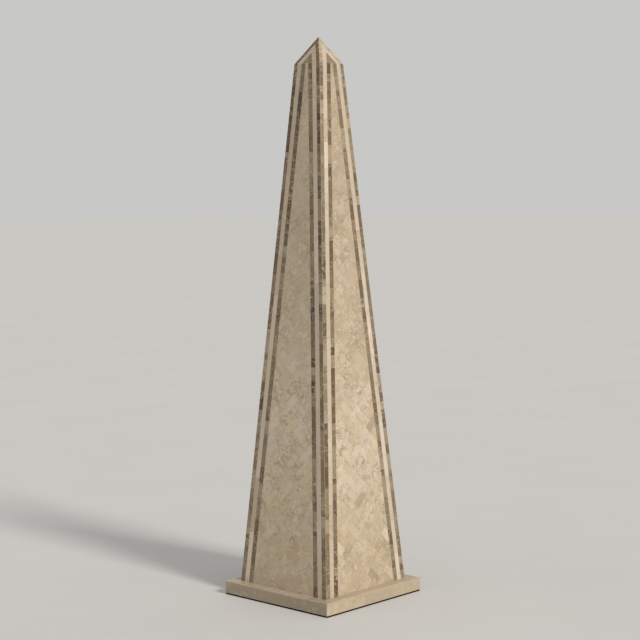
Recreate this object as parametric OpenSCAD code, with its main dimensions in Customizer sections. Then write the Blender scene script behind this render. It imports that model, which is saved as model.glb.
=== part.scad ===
// Floor-standing obelisk clad in cut stone, on a thin square plinth.
// A hollow board carcass carries flat stone pieces. Each of the four faces has a
// tapering centre panel, framed on both sides by three bands that follow the
// corners and narrow a little on the way up: an inner dark band, a light band and a
// dark corner band. The cap is a low pyramid: the corner and light bands run on up
// it, around a small triangle.
// Origin at the centre of the underside, +Z up, all lengths in millimetres.

/* [Overall] */
// Height from the floor to the tip
total_h = 1829; // [1200:1:2600]
// Width of the square plinth
plinth_w = 458; // [440:1:700]
// Width of the shaft where it stands on the plinth
shaft_base_w = 385; // [240:1:430]
// Width of the shaft at the shoulder, where the cap starts
shoulder_w = 112; // [104:1:200]
// Height of the cap above the shoulder
cap_h = 88; // [50:1:200]

/* [Plinth] */
// Height of the plinth's top above the floor
plinth_h = 45; // [36:1:120]
// Thickness of the set-back board that the plinth stands on
base_board_t = 5; // [3:0.5:20]
// How far that board is set back from the plinth's sides
base_board_setback = 12; // [4:1:40]
// How far the plinth's top slabs run in under the shaft
top_slab_lap = 30; // [20:1:60]

/* [Stone] */
// Thickness of the stone facing everywhere
stone_t = 5; // [3:0.5:12]
// Level widths of the dark band beside each corner: at the shaft's foot, at its top
corner_band_w = [18.5, 15.5]; // [8:0.5:24]
// Level widths of the light band next to it
light_band_w = [18.5, 17.5]; // [8:0.5:24]
// Level widths of the dark band between the light band and the panel
inner_band_w = [19, 18]; // [8:0.5:24]

/* [Carcass] */
// Thickness of the boards behind the stone
board_t = 12; // [9:1:25]

/* [Hidden] */

// The four faces, as quarter turns from the front
front = 0;
right = 90;
back = 180;
left = 270;

// Heights
shoulder_z = total_h - cap_h;
shaft_h = shoulder_z - plinth_h;
core_top_z = plinth_h - stone_t;

// Lean of each face away from the vertical
shaft_lean = atan((shaft_base_w - shoulder_w) / 2 / shaft_h);
cap_lean = atan(shoulder_w / 2 / cap_h);

// Level insets of the band lines from a corner of the shaft, at its foot and top.
// The cap's bands keep the insets that the shaft's have at its top, so that they
// meet at the shoulder.
light_line = corner_band_w;
inner_line = light_line + light_band_w;
panel_line = inner_line + inner_band_w;
cap_light_line = [light_line[1], light_line[1]];
cap_panel_line = [inner_line[1], inner_line[1]];

// Insets that run past the corners, where a mitre trims the stone
past_corner = [-stone_t, -stone_t];

// How far outlines run on past the ends that trim them, and cutters past what
// they cut
overrun = 2 * stone_t;
cut_margin = 1;

// The two tiers of leaning faces. Each lists the half widths at foot and top, the
// lean, and the heights of foot and top.
shaft_tier = [shaft_base_w / 2, shoulder_w / 2, shaft_lean, plinth_h, shoulder_z];
cap_tier = [shoulder_w / 2, 0, cap_lean, shoulder_z, total_h];

// Outline, in the plane of a tier's face, of everything inside the two lines at the
// given insets from its corners. It is a trapezium, or a triangle where the lines
// meet below the top.
function inset_outline(tier, inset) =
    let (
        run = (tier[4] - tier[3]) / cos(tier[2]),
        foot_x = tier[0] - inset[0],
        top_x = tier[1] - inset[1],
        slope = (top_x - foot_x) / run,
        low_x = foot_x - overrun * slope,
        high_x = top_x + overrun * slope
    )
    high_x > 0
        ? [[-low_x, -overrun], [low_x, -overrun], [high_x, run + overrun], [-high_x, run + overrun]]
        : [[-low_x, -overrun], [low_x, -overrun], [0, -foot_x / slope]];

// Square frustum that stands level, centred on the axis, or a pyramid if its top
// width is nothing
module taper(foot_w, top_w, foot_z, top_z) {
    foot = [[-foot_w / 2, foot_z], [foot_w / 2, foot_z]];
    top = top_w > 0 ? [[top_w / 2, top_z], [-top_w / 2, top_z]] : [[0, top_z]];
    intersection() {
        rotate([90, 0, 0])
            linear_extrude(foot_w + 2 * cut_margin, center = true)
                polygon(concat(foot, top));
        rotate([90, 0, 90])
            linear_extrude(foot_w + 2 * cut_margin, center = true)
                polygon(concat(foot, top));
    }
}

// Stone of one face of a tier, from the lines at its outer insets to those at its
// inner insets, or right across where no inner ones are given. The quarter of the
// plan between the face's two mitres trims it.
module face_stone(face, tier, outer_inset, inner_inset) {
    half_w = tier[0];
    lean = tier[2];
    foot_z = tier[3];
    reach = 2 * half_w;
    rotate([0, 0, face])
        intersection() {
            translate([0, 0, foot_z])
                linear_extrude(tier[4] - foot_z)
                    polygon([[0, 0], [-reach, -reach], [reach, -reach]]);
            translate([0, -half_w, foot_z])
                rotate([90 - lean, 0, 0])
                    translate([0, 0, -stone_t])
                        linear_extrude(stone_t)
                            difference() {
                                polygon(inset_outline(tier, outer_inset));
                                if (!is_undef(inner_inset))
                                    polygon(inset_outline(tier, inner_inset));
                            }
        }
}

// Set-back board under the plinth: the part stands on it, in its own shadow
module base_board() {
    side = plinth_w - 2 * base_board_setback;
    color("dimgray")
        translate([-side / 2, -side / 2, 0])
            cube([side, side, base_board_t]);
}

// Board core of the plinth, inside its stone
module plinth_core() {
    side = plinth_w - 2 * stone_t;
    color("burlywood")
        translate([-side / 2, -side / 2, base_board_t])
            cube([side, side, core_top_z - base_board_t]);
}

// Stone edge slab on one side of the plinth, mitred at both ends
module plinth_edge(face) {
    outer = plinth_w / 2;
    inner = outer - stone_t;
    color("tan")
        rotate([0, 0, face])
            translate([0, 0, base_board_t])
                linear_extrude(core_top_z - base_board_t)
                    polygon([[-outer, -outer], [outer, -outer], [inner, -inner], [-inner, -inner]]);
}

// Stone top slab on one side of the plinth, which runs in under the shaft
module plinth_top(face) {
    outer = plinth_w / 2;
    inner = shaft_base_w / 2 - top_slab_lap;
    color("wheat")
        rotate([0, 0, face])
            translate([0, 0, core_top_z])
                linear_extrude(stone_t)
                    polygon([[-outer, -outer], [outer, -outer], [inner, -inner], [-inner, -inner]]);
}

// Four boards glued at the corners, open at both ends
module shaft_carcass() {
    foot_w = shaft_base_w - 2 * stone_t / cos(shaft_lean);
    top_w = shoulder_w - 2 * stone_t / cos(shaft_lean);
    boards = 2 * board_t / cos(shaft_lean);
    spread = 2 * cut_margin * tan(shaft_lean);
    color("burlywood")
        difference() {
            taper(foot_w, top_w, plinth_h, shoulder_z);
            taper(
                foot_w - boards + spread,
                top_w - boards - spread,
                plinth_h - cut_margin,
                shoulder_z + cut_margin
            );
        }
}

// Solid block inside the cap, which closes the top of the carcass
module cap_core() {
    foot_w = shoulder_w - 2 * stone_t / cos(cap_lean);
    color("burlywood")
        taper(foot_w, 0, shoulder_z, total_h - stone_t / sin(cap_lean));
}

// Tapering centre panel of one face
module panel(face) {
    color("tan")
        face_stone(face, shaft_tier, panel_line);
}

// Dark bands on both sides of the panel
module inner_bands(face) {
    color("saddlebrown")
        face_stone(face, shaft_tier, inner_line, panel_line);
}

// Light bands between the two dark ones
module light_bands(face) {
    color("oldlace")
        face_stone(face, shaft_tier, light_line, inner_line);
}

// Dark bands along the corners, mitred there against the next face's
module corner_bands(face) {
    color("saddlebrown")
        face_stone(face, shaft_tier, past_corner, light_line);
}

// Small triangle at the foot of one cap face
module cap_panel(face) {
    color("tan")
        face_stone(face, cap_tier, cap_panel_line);
}

// Light band around that triangle, which closes above it
module cap_light_band(face) {
    color("oldlace")
        face_stone(face, cap_tier, cap_light_line, cap_panel_line);
}

// Dark band along both edges of one cap face, up to the tip
module cap_edge_band(face) {
    color("saddlebrown")
        face_stone(face, cap_tier, past_corner, cap_light_line);
}

base_board();
plinth_core();
plinth_edge(front);  // plinth_edge_front
plinth_edge(right);  // plinth_edge_right
plinth_edge(back);  // plinth_edge_back
plinth_edge(left);  // plinth_edge_left
plinth_top(front);  // plinth_top_front
plinth_top(right);  // plinth_top_right
plinth_top(back);  // plinth_top_back
plinth_top(left);  // plinth_top_left
shaft_carcass();
cap_core();
panel(front);  // front_panel
inner_bands(front);  // front_inner_bands
light_bands(front);  // front_light_bands
corner_bands(front);  // front_corner_bands
panel(right);  // right_panel
inner_bands(right);  // right_inner_bands
light_bands(right);  // right_light_bands
corner_bands(right);  // right_corner_bands
panel(back);  // back_panel
inner_bands(back);  // back_inner_bands
light_bands(back);  // back_light_bands
corner_bands(back);  // back_corner_bands
panel(left);  // left_panel
inner_bands(left);  // left_inner_bands
light_bands(left);  // left_light_bands
corner_bands(left);  // left_corner_bands
cap_panel(front);  // cap_front_panel
cap_light_band(front);  // cap_front_light_band
cap_edge_band(front);  // cap_front_edge_band
cap_panel(right);  // cap_right_panel
cap_light_band(right);  // cap_right_light_band
cap_edge_band(right);  // cap_right_edge_band
cap_panel(back);  // cap_back_panel
cap_light_band(back);  // cap_back_light_band
cap_edge_band(back);  // cap_back_edge_band
cap_panel(left);  // cap_left_panel
cap_light_band(left);  // cap_left_light_band
cap_edge_band(left);  // cap_left_edge_band
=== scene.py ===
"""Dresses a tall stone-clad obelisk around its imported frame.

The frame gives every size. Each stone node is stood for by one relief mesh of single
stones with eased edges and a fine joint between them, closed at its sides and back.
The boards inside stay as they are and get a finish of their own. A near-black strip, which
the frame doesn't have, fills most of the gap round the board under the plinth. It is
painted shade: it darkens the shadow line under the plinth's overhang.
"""
import logging
import math
import random
from dataclasses import dataclass, field
from enum import Enum
from typing import Any, Iterable, Sequence

import bmesh
import bpy
from mathutils import Matrix, Vector


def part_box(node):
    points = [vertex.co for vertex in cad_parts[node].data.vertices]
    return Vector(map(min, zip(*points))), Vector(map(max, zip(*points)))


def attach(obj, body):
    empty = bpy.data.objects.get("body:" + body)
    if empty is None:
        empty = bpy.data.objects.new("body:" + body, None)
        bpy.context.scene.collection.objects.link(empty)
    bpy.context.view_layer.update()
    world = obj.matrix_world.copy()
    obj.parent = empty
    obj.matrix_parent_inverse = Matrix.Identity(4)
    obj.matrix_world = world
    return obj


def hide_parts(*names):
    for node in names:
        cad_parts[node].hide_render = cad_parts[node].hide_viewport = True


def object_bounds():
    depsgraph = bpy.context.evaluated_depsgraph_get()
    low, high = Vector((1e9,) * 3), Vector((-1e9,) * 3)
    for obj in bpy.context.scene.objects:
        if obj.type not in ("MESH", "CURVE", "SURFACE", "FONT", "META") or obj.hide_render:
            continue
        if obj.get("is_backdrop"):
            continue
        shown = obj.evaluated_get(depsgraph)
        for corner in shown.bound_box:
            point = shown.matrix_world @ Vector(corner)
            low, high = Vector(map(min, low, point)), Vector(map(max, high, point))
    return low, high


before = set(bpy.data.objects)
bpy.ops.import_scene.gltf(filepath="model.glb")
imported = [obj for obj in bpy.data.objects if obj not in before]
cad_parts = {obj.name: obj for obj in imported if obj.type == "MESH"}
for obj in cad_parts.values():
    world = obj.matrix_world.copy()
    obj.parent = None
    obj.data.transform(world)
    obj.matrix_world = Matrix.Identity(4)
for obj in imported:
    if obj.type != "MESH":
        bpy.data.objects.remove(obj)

MM = 0.001
BAKE_MAP = "OFBake"
STONE_MARK = "stone"
WEAR_MARK = "wear"
LEVEL_NEAR = 0.01 * MM

Colour = tuple[float, float, float]
Stops = tuple[tuple[float, Colour], ...]
Point = tuple[float, float]

log = logging.getLogger("obelisk")


# ---------------------------------------------------------------- shader tools


class Value:
    """One socket of a material, with the arithmetic of a plain number."""

    def __init__(self, graph: "Graph", socket: bpy.types.NodeSocket | None) -> None:
        """Holds an output socket and the graph it belongs to."""
        self.graph = graph
        self.socket = socket

    def __add__(self, other: "Value | float") -> "Value":
        """Sum."""
        return self.graph.math("ADD", self, other)

    def __radd__(self, other: float) -> "Value":
        """Sum with a number on the left."""
        return self.graph.math("ADD", other, self)

    def __sub__(self, other: "Value | float") -> "Value":
        """Difference."""
        return self.graph.math("SUBTRACT", self, other)

    def __rsub__(self, other: float) -> "Value":
        """Difference from a number on the left."""
        return self.graph.math("SUBTRACT", other, self)

    def __mul__(self, other: "Value | float") -> "Value":
        """Product."""
        return self.graph.math("MULTIPLY", self, other)

    def __rmul__(self, other: float) -> "Value":
        """Product with a number on the left."""
        return self.graph.math("MULTIPLY", other, self)

    def __abs__(self) -> "Value":
        """Size without its sign."""
        return self.graph.math("ABSOLUTE", self)

    def rise(self, low: float, high: float) -> "Value":
        """A smooth step from 0 at low to 1 at high.

        Args:
            low: Where the step starts. It may be above high, for a fall.
            high: Where the step is complete.

        Returns:
            The step as a value between 0 and 1.
        """
        if low > high:
            return 1 - self.rise(high, low)
        return self.graph.node(
            "MapRange",
            {"interpolation_type": "SMOOTHSTEP"},
            {"Value": self, "From Min": low, "From Max": high},
        )


class Graph:
    """The node tree of one material, built from plain expressions."""

    def __init__(self, name: str) -> None:
        """Starts an empty material of this name."""
        self.material = bpy.data.materials.new(name)
        self.material.use_nodes = True
        self.tree = self.material.node_tree
        self.tree.nodes.clear()

    def node(
        self,
        kind: str,
        settings: dict[str, Any] | None = None,
        sockets: dict[int | str, Any] | None = None,
        out: int | str = 0,
    ) -> Value:
        """Adds one node.

        Args:
            kind: The node's type, without its ShaderNode prefix.
            settings: Its own settings, set first; "stops" are those of a ramp.
            sockets: Values or links for its inputs, by name or place.
            out: The output wanted.

        Returns:
            That output, or an empty value if the node has none.
        """
        made = self.tree.nodes.new("ShaderNode" + kind)
        for name, value in (settings or {}).items():
            if name == "stops":
                self._set_stops(made.color_ramp.elements, value)
            else:
                setattr(made, name, value)
        for key, value in (sockets or {}).items():
            if isinstance(value, Value):
                self.tree.links.new(value.socket, made.inputs[key])
            else:
                made.inputs[key].default_value = value
        return Value(self, made.outputs[out] if made.outputs else None)

    @staticmethod
    def _set_stops(elements: Any, stops: Stops) -> None:
        """Gives a ramp its stops.

        Args:
            elements: The ramp's elements, which start as two.
            stops: Places from 0 to 1 with their colours, in order.
        """
        while len(elements) > len(stops):
            elements.remove(elements[-1])
        while len(elements) < len(stops):
            elements.new(1.0)
        for element, (place, colour) in zip(elements, stops):
            element.position = place
            element.color = (*colour, 1.0)

    def math(self, operation: str, *values: Value | float) -> Value:
        """One Math node on values and numbers."""
        return self.node("Math", {"operation": operation}, dict(enumerate(values)))

    def vector(self, operation: str, first: Value, second: Any) -> Value:
        """One Vector Math node; second is a link, a triple, or a number for SCALE."""
        key = "Scale" if operation == "SCALE" else 1
        return self.node("VectorMath", {"operation": operation}, {0: first, key: second})

    def mix(self, factor: Value | float, first: Any, second: Any, blend: str = "MIX") -> Value:
        """Mixes two colours.

        Args:
            factor: How much of the second colour shows.
            first: A link or a colour.
            second: A link or a colour.
            blend: The way in which the second goes over the first.

        Returns:
            The mixed colour.
        """
        pair = [c if isinstance(c, Value) else (*c, 1.0) for c in (first, second)]
        settings = {"data_type": "RGBA", "blend_type": blend, "clamp_factor": True}
        return self.node("Mix", settings, {0: factor, 6: pair[0], 7: pair[1]}, 2)

    def place(self) -> Value:
        """Points of the piece, in metres."""
        return self.node("TexCoord", out="Object")

    def noise(
        self, place: Value, size: float, detail: float = 3.0, rough: float = 0.55, bend: float = 0.0
    ) -> Value:
        """Soft noise.

        Args:
            place: Where it is read.
            size: Metres from one patch to the next.
            detail: How many finer layers lie on it.
            rough: How strong the finer layers are.
            bend: How far it is bent by itself.

        Returns:
            A value about 0.5.
        """
        sockets = {"Vector": place, "Scale": 1 / size, "Detail": detail}
        sockets |= {"Roughness": rough, "Distortion": bend}
        return self.node("TexNoise", {"noise_dimensions": "3D"}, sockets)

    def finish(
        self, colour: Value, roughness: Value, height: Value, depth: float, **plain: float
    ) -> bpy.types.Material:
        """Closes the graph with one surface shader.

        Args:
            colour: Base colour.
            roughness: Roughness.
            height: Relief, from 0 to 1.
            depth: What the relief spans, in metres.
            **plain: Plain numbers for other sockets, with _ for a space.

        Returns:
            The finished material.
        """
        bump = self.node("Bump", {}, {"Strength": 1.0, "Distance": depth, "Height": height})
        sockets = {"Base Color": colour, "Roughness": roughness, "Normal": bump}
        sockets |= {name.replace("_", " "): value for name, value in plain.items()}
        self.node("OutputMaterial", {}, {"Surface": self.node("BsdfPrincipled", {}, sockets)})
        return self.material


# ------------------------------------------------------------------- finishes


class Marks(Enum):
    """The kinds of marking that a stone shows."""

    CLOUD = "soft patches"
    FLECK = "small broken grains"
    VEIN = "thin wandering lines"


@dataclass(frozen=True)
class Marking:
    """One marking in a stone, which starts to show at its onset and is whole at full."""

    kind: Marks
    size: float
    colour: Colour
    strength: float
    onset: float
    full: float

    # In sizes: from one gap in a vein to the next, how far a fleck is bent, its teeth.
    gaps_apart, bend, tooth = 1.7, 1.6, 0.45
    # A fleck's bends in one size, how deep its teeth are, and where gaps and flecks end.
    bends, ragged = 1.3, 1.1
    gap_edge, fleck_edge = (0.42, 0.6), (0.48, 0.22)

    def mask(self, graph: Graph, place: Value) -> Value:
        """Where the marking shows.

        Args:
            graph: The material's graph.
            place: Where the stone is read.

        Returns:
            How much it covers, from 0 to its strength.
        """
        if self.kind is Marks.CLOUD:
            spread = graph.noise(place, self.size, detail=4, rough=0.6, bend=0.35)
            return spread.rise(self.onset, self.full) * self.strength
        if self.kind is Marks.VEIN:
            line = abs(graph.noise(place, self.size, rough=0.5, bend=0.8) - 0.5)
            gaps = graph.noise(place, self.size * self.gaps_apart, detail=1).rise(*self.gap_edge)
            return line.rise(self.full, self.onset) * gaps * self.strength
        waves = {"Vector": place, "Scale": self.bends / self.size}
        bent = graph.node("TexNoise", {}, waves, "Color")
        moved = graph.vector("ADD", place, graph.vector("SCALE", bent, self.size * self.bend))
        cells = {"Vector": moved, "Scale": 1 / self.size, "Randomness": 1.0}
        near = graph.node("TexVoronoi", {"feature": "F1"}, cells, "Distance")
        chance = graph.node("TexVoronoi", {"feature": "F1"}, cells, "Color")
        picked = graph.node("SeparateColor", {}, {0: chance}, 0).rise(self.onset, self.full)
        teeth = graph.noise(place, self.size * self.tooth, detail=2, rough=0.6) - 0.5
        return (near + teeth * self.ragged).rise(*self.fleck_edge) * picked * self.strength


@dataclass(frozen=True)
class StoneFinish:
    """A honed and sealed stone, in the tones that its single pieces come in.

    Every stone carries three random numbers. The first picks its tone, the second its
    tint and the third how lively its markings are. All three move the markings, so
    that no two stones are cut from the same spot.
    """

    name: str
    tones: Stops
    warm: Colour
    cool: Colour
    tint: float
    markings: tuple[Marking, ...]
    calm: float = 0.2
    grain: float = 1.6 * MM
    grain_depth: float = 0.05
    gloss: tuple[float, float] = (0.36, 0.56)
    pits: float = 0.05 * MM

    # How far a mark moves the markings, and what worn edges and a thin film change.
    shift = 7.3
    worn_tone, worn_show, worn_rough = (0.78, 0.68, 0.54), 0.35, 0.15
    film_size, film_edge = 60 * MM, (0.3, 0.7)
    grain_rough = 0.12
    # Pits, in grains from one to the next, and where in the noise they start and end.
    pits_apart, pit_edge = 3.5, (0.32, 0.42)
    # How strongly the grain's depth acts on its noise, which stays near its middle.
    grain_gain = 4

    def material(self) -> bpy.types.Material:
        """Builds the stone's material.

        Returns:
            The material, which reads each stone's mark from the mesh.
        """
        graph = Graph(self.name)
        mark = graph.node("Attribute", {"attribute_name": STONE_MARK}, out="Vector")
        tone, tint, life = (graph.node("SeparateXYZ", {}, {0: mark}, i) for i in range(3))
        spot = graph.vector("ADD", graph.place(), graph.vector("SCALE", mark, self.shift))
        colour = graph.node("ValToRGB", {"stops": self.tones}, {0: tone})
        for far, hue in ((1.0, self.warm), (0.0, self.cool)):
            colour = graph.mix(tint.rise(0.5, far) * self.tint, colour, hue, "MULTIPLY")
        lively = life.rise(0.0, 0.9) * (1 - self.calm) + self.calm
        for marking in self.markings:
            colour = graph.mix(marking.mask(graph, spot) * lively, colour, marking.colour)
        grain = graph.noise(spot, self.grain, rough=0.7)
        shade = 1 + (grain - 0.5) * (self.grain_depth * self.grain_gain)
        colour = graph.vector("SCALE", colour, shade)
        worn = graph.node("Attribute", {"attribute_name": WEAR_MARK}, out="Fac")
        colour = graph.mix(worn * self.worn_show, colour, self.worn_tone)
        film = graph.noise(graph.place(), self.film_size, rough=0.6).rise(*self.film_edge)
        low, high = self.gloss
        rough = low + (high - low) * film + (grain - 0.5) * self.grain_rough + worn * self.worn_rough
        pitted = graph.noise(spot, self.grain * self.pits_apart, detail=2).rise(*self.pit_edge)
        return graph.finish(colour, rough, grain * 0.5 + pitted * 0.5, self.pits, IOR=1.5)


@dataclass(frozen=True)
class PlainFinish:
    """A quiet ground: joint filler, bedding behind the stones, painted shade under the plinth, floor.
    """

    name: str
    low: Colour
    high: Colour
    size: float
    rough: tuple[float, float]
    depth: float
    ior: float = 1.45

    # How many teeth a patch spans, and how much each changes the colour.
    teeth, patch_show, tooth_show = 14, 0.8, 0.5

    def material(self) -> bpy.types.Material:
        """Builds the material: two near tones in soft patches with a fine tooth.

        Returns:
            The material.
        """
        graph = Graph(self.name)
        place = graph.place()
        patch = graph.noise(place, self.size, detail=5, rough=0.6).rise(0.3, 0.7)
        tooth = graph.noise(place, self.size / self.teeth, rough=0.6)
        blend = patch * self.patch_show + (tooth - 0.4) * self.tooth_show
        low, high = self.rough
        colour = graph.mix(blend, self.low, self.high)
        return graph.finish(colour, low + (high - low) * tooth, tooth, self.depth, IOR=self.ior)


@dataclass(frozen=True)
class BoardFinish:
    """A board with long grain, raw or stained."""

    name: str
    light: Colour
    dark: Colour
    rough: tuple[float, float] = (0.6, 0.8)

    # How much finer the grain and the pores are across the board than along it.
    grain_across, pores_across = 12.0, 30.0
    pore_show, scuff_show, scuff_rough = 0.5, 0.25, 0.1

    def material(self) -> bpy.types.Material:
        """Builds the material: stretched grain, pores and a few scuffs.

        Returns:
            The material.
        """
        graph = Graph(self.name)
        place = graph.place()
        along, fine = (
            graph.vector("MULTIPLY", place, (1.0, across, across))
            for across in (self.grain_across, self.pores_across)
        )
        grain = graph.noise(along, 90 * MM, detail=5, rough=0.6, bend=0.4)
        pores = graph.noise(fine, 30 * MM, detail=2, rough=0.5)
        scuff = graph.noise(place, 45 * MM, detail=5, rough=0.7).rise(0.56, 0.7)
        colour = graph.mix(grain.rise(0.3, 0.7), self.light, self.dark)
        colour = graph.mix(pores.rise(0.55, 0.68) * self.pore_show, colour, self.dark)
        colour = graph.mix(scuff * self.scuff_show, colour, self.light)
        low, high = self.rough
        rough = low + (high - low) * grain + scuff * self.scuff_rough
        return graph.finish(colour, rough, grain * 0.6 + pores * 0.4, 0.12 * MM, IOR=1.45)


# The tan and golden stone of the panels.
PANEL_STONE = StoneFinish(
    name="panel_stone",
    tones=(
        (0.0, (0.395, 0.310, 0.205)),
        (0.25, (0.470, 0.375, 0.252)),
        (0.5, (0.525, 0.423, 0.288)),
        (0.78, (0.582, 0.476, 0.334)),
        (1.0, (0.640, 0.535, 0.395)),
    ),
    warm=(1.03, 0.98, 0.88),
    cool=(0.975, 1.0, 1.10),
    tint=0.55,
    markings=(
        Marking(Marks.CLOUD, 34 * MM, (0.385, 0.282, 0.172), 0.80, 0.48, 0.66),
        Marking(Marks.CLOUD, 20 * MM, (0.670, 0.590, 0.455), 0.75, 0.50, 0.66),
        Marking(Marks.CLOUD, 11 * MM, (0.340, 0.238, 0.132), 0.60, 0.53, 0.66),
        Marking(Marks.VEIN, 34 * MM, (0.270, 0.185, 0.100), 0.65, 0.0, 0.05),
        Marking(Marks.FLECK, 8.0 * MM, (0.700, 0.610, 0.465), 0.45, 0.72, 0.80),
        Marking(Marks.FLECK, 5.5 * MM, (0.270, 0.190, 0.110), 0.60, 0.86, 0.90),
    ),
    calm=0.32,
    grain_depth=0.06,
)

# The cream stone of the light bands.
LIGHT_STONE = StoneFinish(
    name="light_stone",
    tones=(
        (0.0, (0.440, 0.356, 0.252)),
        (0.3, (0.530, 0.442, 0.330)),
        (0.7, (0.590, 0.500, 0.384)),
        (1.0, (0.690, 0.606, 0.492)),
    ),
    warm=(1.02, 0.985, 0.93),
    cool=(0.98, 1.0, 1.05),
    tint=0.8,
    markings=(
        Marking(Marks.CLOUD, 26 * MM, (0.420, 0.332, 0.226), 0.60, 0.50, 0.68),
        Marking(Marks.CLOUD, 13 * MM, (0.720, 0.640, 0.530), 0.55, 0.52, 0.68),
        Marking(Marks.VEIN, 34 * MM, (0.36, 0.27, 0.18), 0.40, 0.0, 0.035),
        Marking(Marks.FLECK, 4.6 * MM, (0.40, 0.31, 0.21), 0.40, 0.84, 0.9),
    ),
    gloss=(0.34, 0.52),
)

# The brown stones of the dark bands, from near black to tan.
DARK_STONE = StoneFinish(
    name="dark_stone",
    tones=(
        (0.0, (0.070, 0.042, 0.024)),
        (0.16, (0.135, 0.078, 0.042)),
        (0.32, (0.180, 0.118, 0.064)),
        (0.5, (0.232, 0.172, 0.102)),
        (0.68, (0.305, 0.236, 0.150)),
        (0.84, (0.400, 0.322, 0.218)),
        (1.0, (0.540, 0.455, 0.330)),
    ),
    warm=(1.07, 0.94, 0.84),
    cool=(0.98, 1.0, 0.88),
    tint=0.9,
    markings=(
        Marking(Marks.CLOUD, 26 * MM, (0.095, 0.058, 0.034), 0.65, 0.48, 0.64),
        Marking(Marks.CLOUD, 18 * MM, (0.430, 0.345, 0.232), 0.65, 0.51, 0.65),
        Marking(Marks.CLOUD, 9 * MM, (0.500, 0.415, 0.290), 0.45, 0.55, 0.66),
        Marking(Marks.VEIN, 26 * MM, (0.055, 0.033, 0.019), 0.70, 0.0, 0.05),
        Marking(Marks.FLECK, 8.0 * MM, (0.580, 0.480, 0.345), 0.50, 0.84, 0.90),
        Marking(Marks.FLECK, 5.0 * MM, (0.060, 0.036, 0.022), 0.50, 0.80, 0.88),
    ),
    grain_depth=0.09,
    gloss=(0.30, 0.50),
)

# The olive-brown stone of the small triangles in the cap.
CAP_STONE = StoneFinish(
    name="cap_stone",
    tones=(
        (0.0, (0.185, 0.145, 0.088)),
        (0.5, (0.270, 0.212, 0.132)),
        (1.0, (0.370, 0.295, 0.195)),
    ),
    warm=(1.10, 0.94, 0.88),
    cool=(0.94, 1.0, 0.90),
    tint=0.8,
    markings=(
        Marking(Marks.CLOUD, 12 * MM, (0.130, 0.095, 0.058), 0.55, 0.50, 0.70),
        Marking(Marks.CLOUD, 8 * MM, (0.430, 0.350, 0.240), 0.40, 0.56, 0.72),
        Marking(Marks.FLECK, 3.2 * MM, (0.090, 0.062, 0.038), 0.55, 0.78, 0.84),
    ),
    gloss=(0.32, 0.5),
)

# The even beige stone of the plinth.
PLINTH_STONE = StoneFinish(
    name="plinth_stone",
    tones=(
        (0.0, (0.335, 0.268, 0.186)),
        (0.35, (0.430, 0.350, 0.248)),
        (0.65, (0.505, 0.412, 0.290)),
        (1.0, (0.585, 0.488, 0.355)),
    ),
    warm=(1.01, 0.985, 0.93),
    cool=(0.99, 1.0, 1.05),
    tint=0.7,
    markings=(
        Marking(Marks.CLOUD, 38 * MM, (0.375, 0.295, 0.195), 0.60, 0.49, 0.68),
        Marking(Marks.CLOUD, 17 * MM, (0.640, 0.560, 0.440), 0.50, 0.52, 0.68),
        Marking(Marks.VEIN, 50 * MM, (0.34, 0.26, 0.17), 0.35, 0.0, 0.03),
        Marking(Marks.FLECK, 5.0 * MM, (0.37, 0.285, 0.19), 0.40, 0.84, 0.9),
    ),
)

# What lies between and behind the stones, and the strip of painted shade under the plinth.
JOINT = PlainFinish(
    "joint_filler", (0.30, 0.235, 0.16), (0.40, 0.325, 0.235), 8 * MM, (0.7, 0.9), 0.1 * MM
)
BEDDING = PlainFinish(
    "bedding", (0.42, 0.39, 0.34), (0.52, 0.49, 0.44), 30 * MM, (0.8, 0.95), 0.3 * MM
)
# Painted shade: a near-black strip with little sheen, standing for the shadow in the gap under the
# plinth.
SHADE_STRIP_FINISH = PlainFinish(
    "black_felt", (0.004, 0.003, 0.002), (0.012, 0.010, 0.008), 7 * MM, (0.9, 1.0), 0.3 * MM, ior=1.05
)


class Stones:
    """The materials of the whole obelisk, made once."""

    def __init__(self) -> None:
        """Builds every material."""
        stones = (PANEL_STONE, LIGHT_STONE, DARK_STONE, CAP_STONE, PLINTH_STONE)
        self.made = {finish.name: finish.material() for finish in (*stones, JOINT, BEDDING, SHADE_STRIP_FINISH)}

    def __getitem__(self, name: str) -> bpy.types.Material:
        """The material of a finish, by its name."""
        return self.made[name]


# ------------------------------------------------------------- sizes and faces


class Face(Enum):
    """The four sides, by the quarter turns that bring the front one there."""

    FRONT = 0
    RIGHT = 1
    BACK = 2
    LEFT = 3

    @property
    def word(self) -> str:
        """The side's name in the frame."""
        return self.name.lower()


def level_half(node: str, top: bool) -> float:
    """How far out a front node reaches across the face, at its foot or its top.

    Args:
        node: A CAD node on the front face.
        top: True for its highest level, False for its lowest.

    Returns:
        The largest distance from the face's centre line there, in metres.
    """
    places = [v.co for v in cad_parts[node].data.vertices]
    level = (max if top else min)(p.z for p in places)
    return max(abs(p.x) for p in places if abs(p.z - level) < LEVEL_NEAR)


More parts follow.
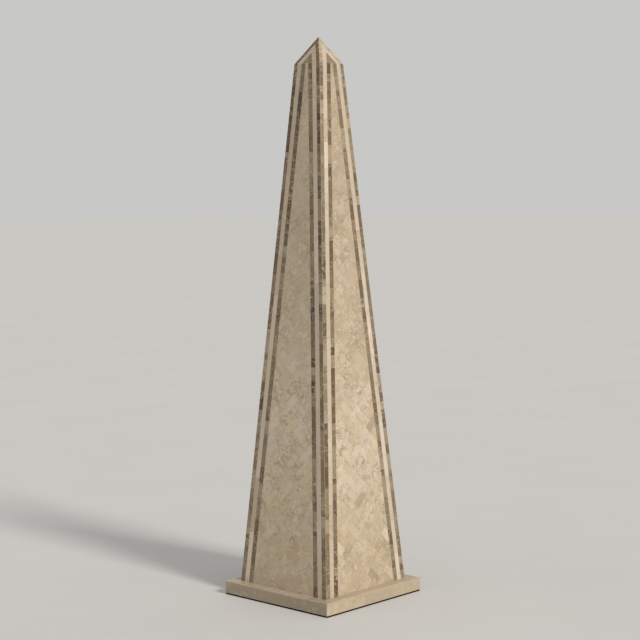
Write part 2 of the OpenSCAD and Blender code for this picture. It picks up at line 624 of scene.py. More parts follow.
@dataclass(frozen=True)
class Sizes:
    """The obelisk's driving sizes in metres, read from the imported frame.

    The hip and the three lines run up the shaft, each given by its distance from the
    face's centre at the foot and at the shoulder.
    """

    height: float
    plinth_half: float
    plinth_low: float
    slab_low: float
    plinth_top: float
    slab_reach: float
    stone: float
    shoulder: float
    hip: Point
    light_line: Point
    inner_line: Point
    panel_line: Point

    @classmethod
    def from_frame(cls) -> "Sizes":
        """Reads the sizes from the frame's nodes.

        Returns:
            The sizes.
        """
        low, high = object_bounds()
        slab_low, slab_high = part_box("plinth_top_front")
        hip, light_line, inner_line, panel_line = (
            (level_half(f"front_{word}", False), level_half(f"front_{word}", True))
            for word in ("corner_bands", "light_bands", "inner_bands", "panel")
        )
        return cls(
            height=high.z - low.z,
            plinth_half=high.x,
            plinth_low=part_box("base_board")[1].z,
            slab_low=slab_low.z,
            plinth_top=slab_high.z,
            slab_reach=slab_high.y - slab_low.y,
            stone=slab_high.z - slab_low.z,
            shoulder=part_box("front_panel")[1].z,
            hip=hip,
            light_line=light_line,
            inner_line=inner_line,
            panel_line=panel_line,
        )


@dataclass(frozen=True)
class Plane:
    """A sloping side, with u across it, v up the slope and n out of it.

    The lean is measured from upright: 0 is a wall and a quarter turn is a flat top.
    """

    half: float
    level: float
    lean: float

    @property
    def flat(self) -> bool:
        """True for a flat top."""
        return self.lean > 1.5

    def up(self, rise: float, depth: float) -> float:
        """v of the point at a height above the foot and a depth under the surface."""
        return (rise + depth * math.sin(self.lean)) / math.cos(self.lean)

    def hip(self, v: float, depth: float) -> float:
        """Distance of the hip from the centre line at v, at a depth under the surface."""
        return self.half - v * math.sin(self.lean) - depth * math.cos(self.lean)

    def matrix(self, face: Face) -> Matrix:
        """Brings u, v, n to the row frame on one of the four sides.

        Args:
            face: The side.

        Returns:
            The transform.
        """
        lean = self.lean
        rows = (
            (1, 0, 0, 0),
            (0, math.sin(lean), -math.cos(lean), -self.half),
            (0, math.cos(lean), math.sin(lean), self.level),
            (0, 0, 0, 1),
        )
        return Matrix.Rotation(math.pi / 2 * face.value, 4, "Z") @ Matrix(rows)


# --------------------------------------------------------------- cutting stone


def add_object(name: str, data: Any) -> Any:
    """Makes an object of this data in the scene."""
    made = bpy.data.objects.new(name, data)
    bpy.context.scene.collection.objects.link(made)
    return made


def add_mesh(
    name: str, bm: bmesh.types.BMesh, materials: Sequence[bpy.types.Material]
) -> bpy.types.Object:
    """Turns a finished mesh into an object in the scene.

    Args:
        name: The object's name.
        bm: The mesh, which is freed.
        materials: Its materials, by place.

    Returns:
        The object.
    """
    mesh = bpy.data.meshes.new(name)
    bm.to_mesh(mesh)
    bm.free()
    for material in materials:
        mesh.materials.append(material)
    return add_object(name, mesh)


@dataclass(frozen=True)
class Cut:
    """How a sheet of stone is cut and laid.

    Round each stone runs half a joint, then an eased edge that rises from the joint's
    depth to its face, which lies a little lower on some stones than on others.
    """

    joint: float = 0.22 * MM
    ease: float = 0.28 * MM
    depth: float = 0.32 * MM
    uneven: float = 0.05 * MM
    shown_sides: bool = False


class StoneSheet:
    """One relief of single stones on a plane, built in u, v, n and closed behind.

    Materials go by place: 0 is the stone, 1 the joint and 2 what is hidden.
    """

    # A stone under this share of a square joins its neighbour, and the last stone of a
    # band is at least this share of the shortest.
    sliver, last = 0.05, 0.6
    # Lengths lean to the short side by this power.
    short = 1.4
    # A corner that moves this many widths is too sharp for the full easing.
    sharp = 3
    # Room between the sheet's back and the board behind it.
    room = 0.03 * MM
    hip_near = 0.02 * MM

    def __init__(self, plane: Plane, cut: Cut, thick: float, seed: str) -> None:
        """Starts an empty sheet.

        Args:
            plane: The side that it lies on.
            cut: How its stones are cut.
            thick: The stone's thickness.
            seed: Picks its random numbers, the same in each run.
        """
        self.plane = plane
        self.cut = cut
        self.thick = thick
        self.dice = random.Random(seed)
        self.bm = bmesh.new()
        self.mark = self.bm.faces.layers.float_vector.new(STONE_MARK)
        self.wear = self.bm.faces.layers.float.new(WEAR_MARK)
        self.stone_id = self.bm.faces.layers.int.new("id")

    def add_outline(self, points: Sequence[Point]) -> None:
        """Adds one flat region at the joint's depth, given anticlockwise in u and v."""
        self.bm.faces.new([self.bm.verts.new((u, v, -self.cut.depth)) for u, v in points])

    def add_pair(self, points: Sequence[Point]) -> None:
        """Adds a region right of the centre line, and its mirror image left of it first."""
        self.add_outline([(-u, v) for u, v in reversed(points)])
        self.add_outline(points)

    def weld(self) -> None:
        """Joins regions that share an edge."""
        bmesh.ops.remove_doubles(self.bm, verts=self.bm.verts, dist=0.001 * MM)

    def slice(self, point: Point, normal: Point, side: int = 0) -> None:
        """Cuts the sheet along a line.

        Args:
            point: A point of the line.
            normal: The line's normal.
            side: -1 or 1 cuts only the part left or right of the centre line.
        """
        faces = [f for f in self.bm.faces if not side or f.calc_center_median().x * side > 0]
        parts = dict.fromkeys(part for f in faces for part in (*f.edges, *f.verts))
        bmesh.ops.bisect_plane(
            self.bm,
            geom=[*faces, *parts],
            dist=0.002 * MM,
            plane_co=(*point, 0),
            plane_no=(*normal, 0),
        )

    def lattice(self, size: float, loose: float) -> None:
        """Lays square-cut and double stones on the diagonal, as in a parquet.

        Args:
            size: Side of a square stone.
            loose: Share of the double stones that are two squares instead.
        """
        reach = max(abs(v.co.x) + abs(v.co.y) for v in self.bm.verts) / math.sqrt(2)
        start = [self.dice.uniform(0, size) for _ in range(2)]
        diagonal = [Vector((1, 1)).normalized(), Vector((-1, 1)).normalized()]
        for way, off in zip(diagonal, start):
            for step in range(-int(reach / size) - 2, int(reach / size) + 3):
                self.slice(way * (step * size + off), way)
        owners: dict[tuple[int, int], int] = {}
        for face in self.bm.faces:
            centre = face.calc_center_median().xy
            x, y = (math.floor((centre.dot(w) - o) / size) for w, o in zip(diagonal, start))
            face[self.stone_id] = self._owner(owners, x, y, loose)
        self._join_same()
        self._join_slivers(self.sliver * size * size)

    def _owner(self, owners: dict[tuple[int, int], int], x: int, y: int, loose: float) -> int:
        """The number of the stone that a square of the lattice belongs to.

        Args:
            owners: The numbers given so far, by the stone's first square.
            x: The square's place one way.
            y: Its place the other way.
            loose: Share of the stones that are split.

        Returns:
            The stone's number.
        """
        turn = (x - y) % 4
        first = (x - (turn == 1), y + (turn == 3))
        split = random.Random(f"{first}{self.plane.half:.4f}").random() < loose
        key = (x, y) if split else first
        return owners.setdefault(key, len(owners) + 1)

    def _join_same(self) -> None:
        """Dissolves the edges inside a stone."""
        inner = [
            e
            for e in self.bm.edges
            if len(e.link_faces) == 2
            and e.link_faces[0][self.stone_id] == e.link_faces[1][self.stone_id]
        ]
        bmesh.ops.dissolve_edges(self.bm, edges=inner, use_verts=False)

    def _join_slivers(self, least: float) -> None:
        """Gives stones that are too small to cut to the neighbour on their longest edge.

        Args:
            least: The smallest area that is cut.
        """
        while True:
            small = [f for f in self.bm.faces if f.calc_area() < least]
            shared = [e for f in small[:1] for e in f.edges if len(e.link_faces) == 2]
            if not shared:
                return
            longest = max(shared, key=lambda e: e.calc_length())
            bmesh.ops.dissolve_faces(self.bm, faces=list(longest.link_faces), use_verts=False)

    def lengths(self, low: float, high: float, bottom: float, top: float, side: int = 0) -> None:
        """Cuts a band across into stones of random length.

        Args:
            low: Shortest stone.
            high: Longest stone.
            bottom: v where the band starts.
            top: v where it ends.
            side: -1 or 1 for one band of a pair.
        """
        place = bottom + self.dice.uniform(0.3, 1) * high
        while place < top - low * self.last:
            self.slice((0, place), (0, 1), side)
            place += low + (high - low) * self.dice.random() ** self.short

    def number(self) -> None:
        """Gives each stone its number."""
        for count, face in enumerate(self.bm.faces):
            face[self.stone_id] = count

    def mark_all(self, tone: "Tone") -> None:
        """Marks each stone with its tone, its tint and the strength of its markings.

        Args:
            tone: Picks the three numbers from the dice and the stone's place.
        """
        for face in self.bm.faces:
            centre = face.calc_center_median()
            face[self.mark] = tone.mark(self.dice, centre.x, centre.y)

    def raise_stones(self) -> None:
        """Lifts each stone off the joint's bed, with eased edges."""
        for face in self.bm.faces:
            face.material_index = 0
        stones = list(self.bm.faces)
        for face in self._inset(stones, self.cut.joint):
            face.material_index = 1
        for face in self._inset(stones, self.cut.ease):
            face.material_index = 0
            face[self.wear] = 1.0
        for face in stones:
            top = -self.cut.uneven * self.dice.random()
            for vert in face.verts:
                vert.co.z = top

    def _inset(self, stones: list[bmesh.types.BMFace], width: float) -> list[bmesh.types.BMFace]:
        """Draws each stone's outline in, with a limit at sharp corners.

        Args:
            stones: The stones.
            width: How far their edges move.

        Returns:
            The faces of the rims left round them.
        """
        before = [[v.co.copy() for v in face.verts] for face in stones]
        rims = bmesh.ops.inset_individual(
            self.bm, faces=stones, thickness=width, use_even_offset=True
        )["faces"]
        for face, places in zip(stones, before):
            for vert, old in zip(face.verts, places):
                step = vert.co - old
                if step.length > self.sharp * width:
                    vert.co = old + step.normalized() * width
        return rims

    def close(self) -> None:
        """Gives the sheet its sides and its back, mitred at the hips."""
        front = set(self.bm.faces)
        edges = [e for e in self.bm.edges if e.is_boundary]
        made = bmesh.ops.extrude_edge_only(self.bm, edges=edges)["geom"]
        for vert in (g for g in made if isinstance(g, bmesh.types.BMVert)):
            vert.co = self._behind(vert.co)
        rim = [e for e in self.bm.edges if e.is_boundary]
        bmesh.ops.holes_fill(self.bm, edges=rim, sides=0)
        for face in self.bm.faces:
            if face not in front:
                back = abs(face.calc_center_median().z) > self.thick * 0.8
                face.material_index = 0 if self.cut.shown_sides and not back else 2
                face[self.stone_id] = -1
        bmesh.ops.recalc_face_normals(self.bm, faces=self.bm.faces)

    def _behind(self, place: Vector) -> Vector:
        """Where a point of the rim goes at the back.

        Args:
            place: A point of the rim, at the joint's depth.

        Returns:
            The point behind it.
        """
        lean = self.plane.lean
        depth = self.thick - self.cut.depth - self.room
        if self.plane.flat:
            return place - Vector((0, 0, depth))
        level = depth / math.cos(lean)
        hip = self.plane.hip(place.y, self.cut.depth)
        u = place.x
        if abs(abs(u) - hip) < self.hip_near:
            if hip < level:
                return Vector((0, place.y - depth / math.tan(lean), place.z - depth))
            u -= math.copysign(level, u)
        return Vector((u, place.y + level * math.sin(lean), place.z - level * math.cos(lean)))

    def lay_map(self, columns: int, paired: bool) -> None:
        """Lays the sheet's own map: the front folded into columns, the rest beside it.

        Args:
            columns: How many columns a long sheet is folded into.
            paired: True if each side of the centre line gets columns of its own.
        """
        layer = self.bm.loops.layers.uv.new(BAKE_MAP)
        top = max(v.co.y for v in self.bm.verts)
        low = min(v.co.y for v in self.bm.verts)
        stones: dict[int, list[bmesh.types.BMFace]] = {}
        for face in self.bm.faces:
            if face[self.stone_id] >= 0:
                stones.setdefault(face[self.stone_id], []).append(face)
        groups: dict[tuple[int, bool], list[bmesh.types.BMFace]] = {}
        for faces in stones.values():
            centre = sum((f.calc_center_median() for f in faces), Vector()) / len(faces)
            column = min(int((centre.y - low) / (top - low) * columns), columns - 1)
            groups.setdefault((column, paired and centre.x > 0), []).extend(faces)
        Packer(layer, self.bm).pack(groups)

    def build(self, name: str, face: Face, materials: Sequence[bpy.types.Material]) -> Any:
        """Turns the sheet into an object on one side.

        Args:
            name: The piece's name.
            face: The side.
            materials: The stone, the joint and what is hidden.

        Returns:
            The object.
        """
        self.bm.faces.layers.int.remove(self.stone_id)
        self.bm.transform(self.plane.matrix(face))
        return add_mesh(name, self.bm, materials)


class Packer:
    """Lays groups of faces side by side on a map, with the hidden faces along one edge."""

    # On the map: its empty edge, the strip of sides and how much of it they fill, the
    # strip of backs and how tall it is, and the share of a side's own room that it fills.
    edge = 0.004
    walls, walls_fill = 0.03, 0.7
    back, back_tall = 0.05, 0.9
    side_fill = 0.96
    # Between two groups, as a share of them all; and the least length of a side.
    between, least = 0.012, 1e-6

    def __init__(self, layer: Any, bm: bmesh.types.BMesh) -> None:
        """Holds the map's layer and the mesh."""
        self.layer = layer
        self.bm = bm

    def pack(self, groups: dict[tuple[int, bool], list[bmesh.types.BMFace]]) -> None:
        """Lays the groups.

        Args:
            groups: Faces by column, each group a flat patch in u and v.
        """
        boxes = {}
        for key, faces in sorted(groups.items()):
            places = [v.co for f in faces for v in f.verts]
            boxes[key] = (
                min(p.x for p in places),
                min(p.y for p in places),
                max(p.x for p in places),
                max(p.y for p in places),
            )
        gap = self.between * sum(b[2] - b[0] for b in boxes.values())
        wide = sum(b[2] - b[0] for b in boxes.values()) + gap * (len(boxes) - 1)
        tall = max(b[3] - b[1] for b in boxes.values())
        left, bottom = self.edge + self.back, self.edge + self.walls
        scale = ((1 - self.edge - left) / wide, (1 - self.edge - bottom) / tall)
        start = 0.0
        for key, faces in sorted(groups.items()):
            box = boxes[key]
            for face in faces:
                for loop in face.loops:
                    u = left + (loop.vert.co.x - box[0] + start) * scale[0]
                    v = bottom + (loop.vert.co.y - box[1]) * scale[1]
                    loop[self.layer].uv = (u, v)
            start += box[2] - box[0] + gap
        self._hidden({f for faces in groups.values() for f in faces})

    def _hidden(self, done: set[bmesh.types.BMFace]) -> None:
        """Lays the back up the left edge and the sides along the bottom.

        Args:
            done: The faces that are laid already.
        """
        rest = [f for f in self.bm.faces if f not in done]
        backs = [f for f in rest if len(f.verts) > 4 or abs(f.normal.z) > 0.9]
        sides = [f for f in rest if f not in backs]
        low = [min(v.co[i] for v in self.bm.verts) for i in range(2)]
        high = [max(v.co[i] for v in self.bm.verts) for i in range(2)]
        for face in backs:
            for loop in face.loops:
                part = [(loop.vert.co[i] - low[i]) / (high[i] - low[i]) for i in range(2)]
                u = self.edge + part[0] * (self.back - self.edge)
                v = self.edge * 2 + self.walls + part[1] * self.back_tall
                loop[self.layer].uv = (u, v)
        total = sum(self._length(f) for f in sides)
        start, room = 0.0, 1 - 2 * self.edge
        for face in sides:
            step = self._length(face) / total
            self._lay_side(face, self.edge + start * room, step * room)
            start += step

    def _length(self, face: bmesh.types.BMFace) -> float:
        """Length of a side face along the rim."""
        return max(*(e.calc_length() for e in face.edges), self.least)

    def _lay_side(self, face: bmesh.types.BMFace, start: float, step: float) -> None:
        """Lays one side face as a small upright rectangle.

        Args:
            face: The face, with its front edge above its back edge in n.
            start: Where it starts on the map.
            step: How wide it is there.
        """
        order = sorted(face.loops, key=lambda loop: -loop.vert.co.z)
        lead = order[0].vert.co
        along = (order[1].vert.co - lead).normalized()
        reach = max(abs((lp.vert.co - lead).dot(along)) for lp in face.loops) or 1.0
        middle = (order[0].vert.co.z + order[-1].vert.co.z) / 2
        for loop in face.loops:
            share = abs((loop.vert.co - lead).dot(along)) / reach
            upper = loop.vert.co.z > middle
            u = start + share * step * self.side_fill
            loop[self.layer].uv = (u, self.edge + upper * self.walls * self.walls_fill)


@dataclass(frozen=True)
class Tone:
    """How the tones of a sheet's stones are spread over a side.

    A tone runs from 0, dark, to 1, light. The stones are lifted, made lighter, about one
    height; on the panels this lift is painted light, a brighter band about half a metre up
    where the light falls strongest. With a far side, those on that side of the centre line
    are lighter at the foot by its size, and less so higher up. Quiet stones, with fainter
    markings, lie at the foot and the top, and cooler ones towards the top. Heights are in
    metres up the side.
    """

    middle: float
    spread: float
    odd: float = 0.0
    lift: float = 0.0
    lift_at: float = 0.49
    lift_over: float = 0.30
    most: float = 1.0
    far: float = 0.0
    quiet: float = 0.0
    cool: float = 0.0

    # Where the liveliest stones lie and how far they reach, and where the far side's
    # lift has gone.
    lively_at, lively_over, far_end = 0.6, 0.42, 1.1

    def mark(self, dice: random.Random, u: float, v: float) -> tuple[float, float, float]:
        """Picks one stone's tone, tint and strength of markings.

        Args:
            dice: The sheet's random numbers.
            u: The stone's place across the face.
            v: Its place up the face.

        Returns:
            The three numbers, each from 0 to 1.
        """
        calm = self.quiet * (1 - math.exp(-(((v - self.lively_at) / self.lively_over) ** 2)))
        tint = max(dice.random() - self.cool * v, 0.0)
        return self._tone(dice, u, v), tint, dice.random() * (1 - calm)

    def _tone(self, dice: random.Random, u: float, v: float) -> float:
        """Picks the tone alone.

        Args:
            dice: The sheet's random numbers.
            u: The stone's place across the face.
            v: Its place up the face.

        Returns:
            The tone, from 0 to 1.
        """
        if dice.random() < self.odd:
            return dice.random()
        # The lift; on the panels it is painted light, lighter stones where the light falls strongest.
        drift = self.lift * math.exp(-(((v - self.lift_at) / self.lift_over) ** 2))
        if u * self.far > 0:
            drift += abs(self.far) * (1 - v / self.far_end)
        return min(max(dice.gauss(self.middle + drift, self.spread), 0.0), self.most)


# ----------------------------------------------------------------- the obelisk


# How the tones are spread on the front and back, and on the right and left.
TONES: dict[str, tuple[Tone, Tone]] = {
    # The panels' lift is painted light: brighter stones about half a metre up the shaft.
    "panel": (
        Tone(0.35, 0.11, odd=0.02, lift=0.48, lift_at=0.56, lift_over=0.34, quiet=0.6, cool=0.45),
        Tone(0.36, 0.17, odd=0.02, lift=0.58, lift_at=0.45, lift_over=0.27, quiet=0.45, cool=0.35),
    ),
    "inner_bands": (Tone(0.37, 0.21, most=0.80), Tone(0.49, 0.21, most=0.80)),
    "light_bands": (Tone(0.36, 0.26, far=-0.30), Tone(0.52, 0.20, far=0.26)),
    "corner_bands": (
        Tone(0.20, 0.20, lift=0.34, lift_at=0.3, lift_over=0.6, most=0.84, far=-0.25),
        Tone(0.55, 0.22, lift=0.28, lift_at=1.75, lift_over=0.22, most=0.95, far=0.12),
    ),
    "edge_band": (Tone(0.24, 0.08), Tone(0.90, 0.06)),
    "light_band": (Tone(0.05, 0.08, cool=2.0), Tone(0.45, 0.08)),
    "cap_panel": (Tone(0.28, 0.16), Tone(0.28, 0.16)),
    "top": (Tone(0.28, 0.06), Tone(0.50, 0.06)),
    # The plinth's edges on the front and back are darker as painted shade.
    "edge": (Tone(0.08, 0.06), Tone(0.60, 0.06)),
}


class Band(Enum):
    """The pairs of bands beside a panel: their stone, and its least and most length."""

    INNER = ("inner_bands", "dark_stone", 16 * MM, 80 * MM)
    LIGHT = ("light_bands", "light_stone", 60 * MM, 190 * MM)
    CORNER = ("corner_bands", "dark_stone", 16 * MM, 80 * MM)


@dataclass
class Part:
    """A part of the obelisk that is made of sheets of stone."""

    sizes: Sizes
    stones: Stones
    cut: Cut = Cut()

    def _sheet(self, plane: Plane, seed: str) -> StoneSheet:
        """Starts a sheet of this part's cut and the facing's thickness."""
        return StoneSheet(plane, self.cut, self.sizes.stone, seed)

    def _finish(
        self,
        sheet: StoneSheet,
        face: Face,
        node: str,
        kind: str,
        tones: str,
        columns: int = 1,
        paired: bool = False,
    ) -> None:
        """Finishes a cut sheet and puts it in the place of its CAD node.

        Args:
            sheet: The cut sheet.
            face: The side that it is on.
            node: The node that it stands for.
            kind: Its stone, which is also the record's material slot.
            tones: The spread of its tones.
            columns: How many columns its map is folded into.
            paired: True for two bands, which get columns of their own.
        """
        sheet.number()
        sheet.mark_all(TONES[tones][face.value % 2])
        sheet.raise_stones()
        sheet.close()
        sheet.lay_map(columns, paired)
        materials = [self.stones[name] for name in (kind, "joint_filler", "bedding")]
        piece = sheet.build(f"{node}_stones", face, materials)
        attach(piece, "root")
        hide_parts(node)
        log.info("%s: %d faces, stands for %s", piece.name, len(piece.data.polygons), node)


@dataclass
class Shaft(Part):
    """The four tapering sides, each a panel between three pairs of bands."""

    square: float = 28 * MM
    loose: float = 0.14
    plane: Plane = field(init=False)
    bottom: float = field(init=False)
    top: float = field(init=False)

    def __post_init__(self) -> None:
        """Works out the sides' plane and where it starts and ends."""
        rise = self.sizes.shoulder - self.sizes.plinth_top
        lean = math.atan((self.sizes.hip[0] - self.sizes.hip[1]) / rise)
        self.plane = Plane(self.sizes.hip[0], self.sizes.plinth_top, lean)
        self.bottom = self.plane.up(0.0, self.cut.depth)
        self.top = self.plane.up(rise, self.cut.depth)

    def build(self) -> None:
        """Builds all the pieces of the four sides."""
        hip = tuple(self.plane.hip(v, self.cut.depth) for v in (self.bottom, self.top))
        for face in Face:
            self._panel(face)
            self._bands(face, Band.INNER, self.sizes.inner_line, self.sizes.panel_line)
            self._bands(face, Band.LIGHT, self.sizes.light_line, self.sizes.inner_line)
            self._bands(face, Band.CORNER, hip, self.sizes.light_line)

    def _panel(self, face: Face) -> None:
        """Builds one centre panel.

        Args:
            face: The side that it is on.
        """
        sheet = self._sheet(self.plane, f"panel {face.word}")
        foot, head = self.sizes.panel_line
        sheet.add_outline(
            [(-foot, self.bottom), (foot, self.bottom), (head, self.top), (-head, self.top)]
        )
        sheet.lattice(self.square, self.loose)
        self._finish(sheet, face, f"{face.word}_panel", "panel_stone", "panel", columns=3)

    def _bands(self, face: Face, band: Band, outer: Point, inner: Point) -> None:
        """Builds one pair of bands.

        Args:
            face: The side that they are on.
            band: The pair.
            outer: The line along their outer edges.
            inner: The line along their inner edges.
        """
        word, kind, low, high = band.value
        sheet = self._sheet(self.plane, f"{word} {face.word}")
        foot = [(inner[0], self.bottom), (outer[0], self.bottom)]
        sheet.add_pair([*foot, (outer[1], self.top), (inner[1], self.top)])
        for side in (-1, 1):
            sheet.lengths(low, high, self.bottom, self.top, side)
        self._finish(sheet, face, f"{face.word}_{word}", kind, word, columns=6, paired=True)


@dataclass
class Cap(Part):
    """The low pyramid, on which the shaft's bands run on to the tip."""

    plane: Plane = field(init=False)
    bottom: float = field(init=False)

    # Shares of its height at which a band is cut, and of half its width at which the
    # triangle is, on a line that leans this much.
    band_cut, panel_cut, panel_lean = (0.3, 0.6), (-0.2, 0.2), 0.35

    def __post_init__(self) -> None:
        """Works out the plane of the cap's sides."""
        half, rise = self.sizes.hip[1], self.sizes.height - self.sizes.shoulder
        self.plane = Plane(half, self.sizes.shoulder, math.atan(half / rise))
        self.bottom = self.plane.up(0.0, self.cut.depth)

    def build(self) -> None:
        """Builds all the pieces of the cap."""
        hip = self.plane.hip(self.bottom, self.cut.depth)
        light, inner = self.sizes.light_line[1], self.sizes.inner_line[1]
        for face in Face:
            self._chevron(face, "edge_band", "dark_stone", hip, light)
            self._chevron(face, "light_band", "light_stone", light, inner)
            self._panel(face, inner)

    def _apex(self, half: float) -> float:
        """v at which a line, that starts at half from the centre, meets its twin."""
        return self.bottom + half / math.sin(self.plane.lean)

    def _chevron(self, face: Face, word: str, kind: str, outer: float, inner: float) -> None:
        """Builds one band that runs up both edges of a side and closes over its middle.

        Args:
            face: The side.
            word: The band's name.
            kind: Its stone.
            outer: Half its width outside, at its foot.
            inner: Half its width inside, at its foot.
        """
        sheet = self._sheet(self.plane, f"{word} {face.word}")
        foot = [(inner, self.bottom), (outer, self.bottom)]
        sheet.add_pair([*foot, (0, self._apex(outer)), (0, self._apex(inner))])
        sheet.weld()
        for side in (-1, 1):
            share = sheet.dice.uniform(*self.band_cut)
            place = self.bottom + (self._apex(outer) - self.bottom) * share
            sheet.slice((0, place), (0, 1), side)
        self._finish(sheet, face, f"cap_{face.word}_{word}", kind, word)

    def _panel(self, face: Face, half: float) -> None:
        """Builds the small triangle at the foot of a side.

        Args:
            face: The side.
            half: Half its width at its foot.
        """
        sheet = self._sheet(self.plane, f"cap panel {face.word}")
        sheet.add_outline([(-half, self.bottom), (half, self.bottom), (0, self._apex(half))])
        share = sheet.dice.uniform(*self.panel_cut)
        sheet.slice((share * half, self.bottom), (1, self.panel_lean))
        self._finish(sheet, face, f"cap_{face.word}_panel", "cap_stone", "cap_panel")


@dataclass
class Plinth(Part):
    """The square plinth: a border of slabs on top, slabs along its edges and a strip of painted shade
    under it.
    """

    cut: Cut = Cut(0.2 * MM, 0.6 * MM, 0.6 * MM, 0.04 * MM, shown_sides=True)

    # The shade strip's share of the gap, its clearance from boards and floor, its bevel.
    strip_share, strip_clear, strip_bevel = 0.9, 0.05 * MM, 0.5 * MM

    def build(self) -> None:
        """Builds the plinth's eight stone pieces and the strip of painted shade under them."""
        for face in Face:
            self._top(face)
            self._edge(face)
        self._strip()

    def _strip(self) -> None:
        """Builds the near-black strip of painted shade in the gap round the base board."""
        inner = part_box("base_board")[1].x
        outer = inner + (self.sizes.plinth_half - inner) * self.strip_share
        low, top = self.strip_clear, self.sizes.plinth_low - self.strip_clear
        bevel = self.strip_bevel
        outline = [
            (inner, low),
            (outer - bevel, low),
            (outer, bevel),
            (outer, top - bevel),
            (outer - bevel, top),
            (inner, top),
        ]
        bm = bmesh.new()
        rings = [
            [bm.verts.new((x * reach, y * reach, z)) for x, y in ((-1, -1), (1, -1), (1, 1), (-1, 1))]
            for reach, z in outline
        ]
        for ring, above in zip(rings, rings[1:] + rings[:1]):
            for i in range(4):
                bm.faces.new((ring[i], ring[i - 1], above[i - 1], above[i]))
        bmesh.ops.recalc_face_normals(bm, faces=bm.faces)
        piece = add_mesh("felt_strip", bm, [self.stones["black_felt"]])
        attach(piece, "root")
        log.info("%s: %d faces", piece.name, len(piece.data.polygons))

    def _top(self, face: Face) -> None:
        """Builds the mitred slabs on top of one side.

        Args:
            face: The side.
        """
        half, reach = self.sizes.plinth_half, self.sizes.slab_reach
        sheet = self._sheet(
            Plane(half, self.sizes.plinth_top, math.pi / 2), f"plinth top {face.word}"
        )
        sheet.add_outline([(-half, 0), (half, 0), (half - reach, reach), (reach - half, reach)])
        self._slabs(sheet, 130 * MM, 210 * MM)
        self._finish(sheet, face, f"plinth_top_{face.word}", "plinth_stone", "top")

    def _edge(self, face: Face) -> None:
        """Builds the slabs along the edge of one side.

        Args:
            face: The side.
        """
        half, low = self.sizes.plinth_half, self.sizes.plinth_low
        tall, inset = self.sizes.slab_low - low, half - self.cut.depth
        sheet = self._sheet(Plane(half, low, 0.0), f"plinth edge {face.word}")
        sheet.add_outline([(-inset, 0), (inset, 0), (inset, tall), (-inset, tall)])
        self._slabs(sheet, 110 * MM, 190 * MM)
        self._finish(sheet, face, f"plinth_edge_{face.word}", "plinth_stone", "edge")

    def _slabs(self, sheet: StoneSheet, low: float, high: float) -> None:
        """Cuts a strip across into slabs.

        Args:
            sheet: The strip.
            low: Shortest slab.
            high: Longest slab.
        """
        place = -self.sizes.plinth_half + sheet.dice.uniform(0.7, 1) * high
        while place < self.sizes.plinth_half - low * 0.7:
            sheet.slice((place, 0), (1, 0))
            place += sheet.dice.uniform(low, high)


@dataclass
class Boards:
    """The boards that carry the stone, kept as they are in the frame."""

    raw: BoardFinish = BoardFinish("raw_board", (0.42, 0.29, 0.17), (0.28, 0.18, 0.10))
    # The base board's near-black is partly its own dark stain and partly painted shade, darkened to
    # stand for the shadow in the gap under the plinth.
    stained: BoardFinish = BoardFinish(
        "stained_board", (0.020, 0.015, 0.012), (0.008, 0.006, 0.005)
    )

    def dress(self) -> None:
        """Gives each board its finish."""
        raw, stained = self.raw.material(), self.stained.material()
        for name in ("base_board", "plinth_core", "shaft_carcass", "cap_core"):
            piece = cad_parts[name]
            finish = stained if name == "base_board" else raw
            if piece.data.materials:
                for slot in piece.material_slots:
                    slot.material = finish
            else:
                piece.data.materials.append(finish)
            log.info("%s: %s", name, finish.name)


# ------------------------------------------------------------------ the studio


@dataclass(frozen=True)
class Lamp:
    """One far, soft lamp, placed by its bearing from the obelisk."""

    name: str
    bearing: float
    lift: float
    spread: float
    power: float
    colour: Colour
    distance: float = 6.0

    def place(self) -> None:
        """Hangs the lamp and turns it to the obelisk."""
        data = bpy.data.lights.new(self.name, "SUN")
        data.angle = math.radians(self.spread)
        data.energy = self.power
        data.color = self.colour
        lamp = add_object(self.name, data)
        bearing, lift = math.radians(self.bearing), math.radians(self.lift)
        away = Vector(
            (math.sin(bearing) * math.cos(lift), -math.cos(bearing) * math.cos(lift), math.sin(lift))
        )
        lamp.location = away * self.distance
        lamp.rotation_euler = away.to_track_quat("Z", "Y").to_euler()


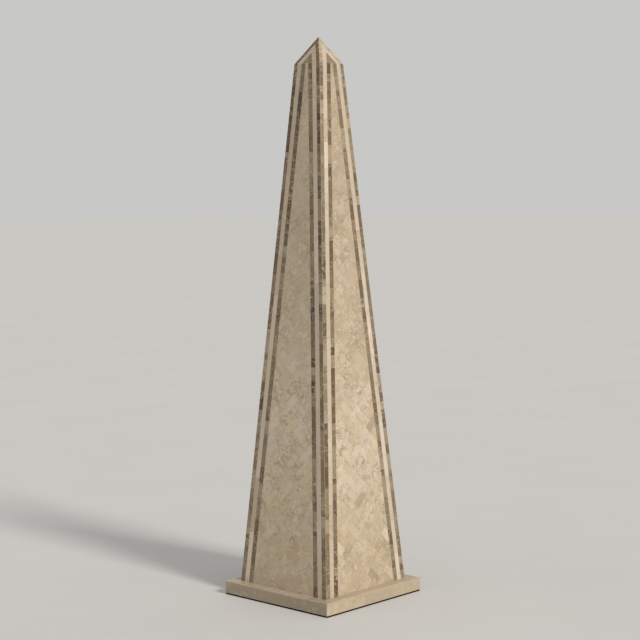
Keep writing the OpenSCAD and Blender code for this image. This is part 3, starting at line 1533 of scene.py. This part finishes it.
@dataclass
class Studio:
    """A plain pale floor under soft light, and the camera.

    The camera's distance and height are in heights of the obelisk, its angles in degrees.
    """

    sizes: Sizes
    bearing: float = 42.91
    reach: float = 2.9073
    eye: float = 0.7435
    pitch: float = -4.841
    roll: float = -0.471
    pan: float = 0.03
    lens: float = 91.5
    sky: Colour = (0.578, 0.575, 0.568)
    key: Lamp = Lamp("key", bearing=86, lift=36, spread=12, power=2.05, colour=(1.0, 0.95, 0.89))
    ground: PlainFinish = PlainFinish(
        "pale_floor", (0.60, 0.595, 0.58), (0.62, 0.615, 0.60), 0.5, (0.75, 0.9), 0.2 * MM
    )

    def build(self) -> None:
        """Sets up the floor, the light and the camera."""
        self._floor()
        self._light()
        self._camera()

    def _floor(self) -> None:
        """Lays a round floor that reaches well past every view."""
        bm = bmesh.new()
        bmesh.ops.create_circle(bm, cap_ends=True, segments=96, radius=60.0)
        add_mesh("floor", bm, [self.ground.material()])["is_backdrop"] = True

    def _light(self) -> None:
        """Hangs one large warm lamp to the right and fills the rest from all round."""
        world = bpy.data.worlds.new("soft_surround")
        world.use_nodes = True
        surround = world.node_tree.nodes["Background"]
        surround.inputs["Color"].default_value = (*self.sky, 1.0)
        surround.inputs["Strength"].default_value = 1.0
        bpy.context.scene.world = world
        self.key.place()

    def _camera(self) -> None:
        """Stands the camera at its bearing and gives it its lens."""
        scene = bpy.context.scene
        scene.view_settings.view_transform = "Standard"
        data = bpy.data.cameras.new("camera")
        data.sensor_width = 36.0
        data.lens = self.lens
        camera = add_object("camera", data)
        bearing = math.radians(self.bearing)
        away = self.reach * self.sizes.height
        stand = Vector(
            (math.sin(bearing) * away, -math.cos(bearing) * away, self.eye * self.sizes.height)
        )
        turn = (
            Matrix.Rotation(bearing + math.radians(self.pan), 4, "Z")
            @ Matrix.Rotation(math.radians(90 + self.pitch), 4, "X")
            @ Matrix.Rotation(math.radians(self.roll), 4, "Z")
        )
        camera.matrix_world = Matrix.Translation(stand) @ turn
        scene.camera = camera


def main() -> None:
    """Builds the obelisk and its studio."""
    logging.basicConfig(level=logging.INFO, format="%(name)s: %(message)s")
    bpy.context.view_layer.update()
    sizes = Sizes.from_frame()
    stones = Stones()
    Plinth(sizes, stones).build()
    Shaft(sizes, stones).build()
    Cap(sizes, stones).build()
    Boards().dress()
    Studio(sizes).build()
    bpy.context.view_layer.update()


if __name__ == "__main__":
    main()
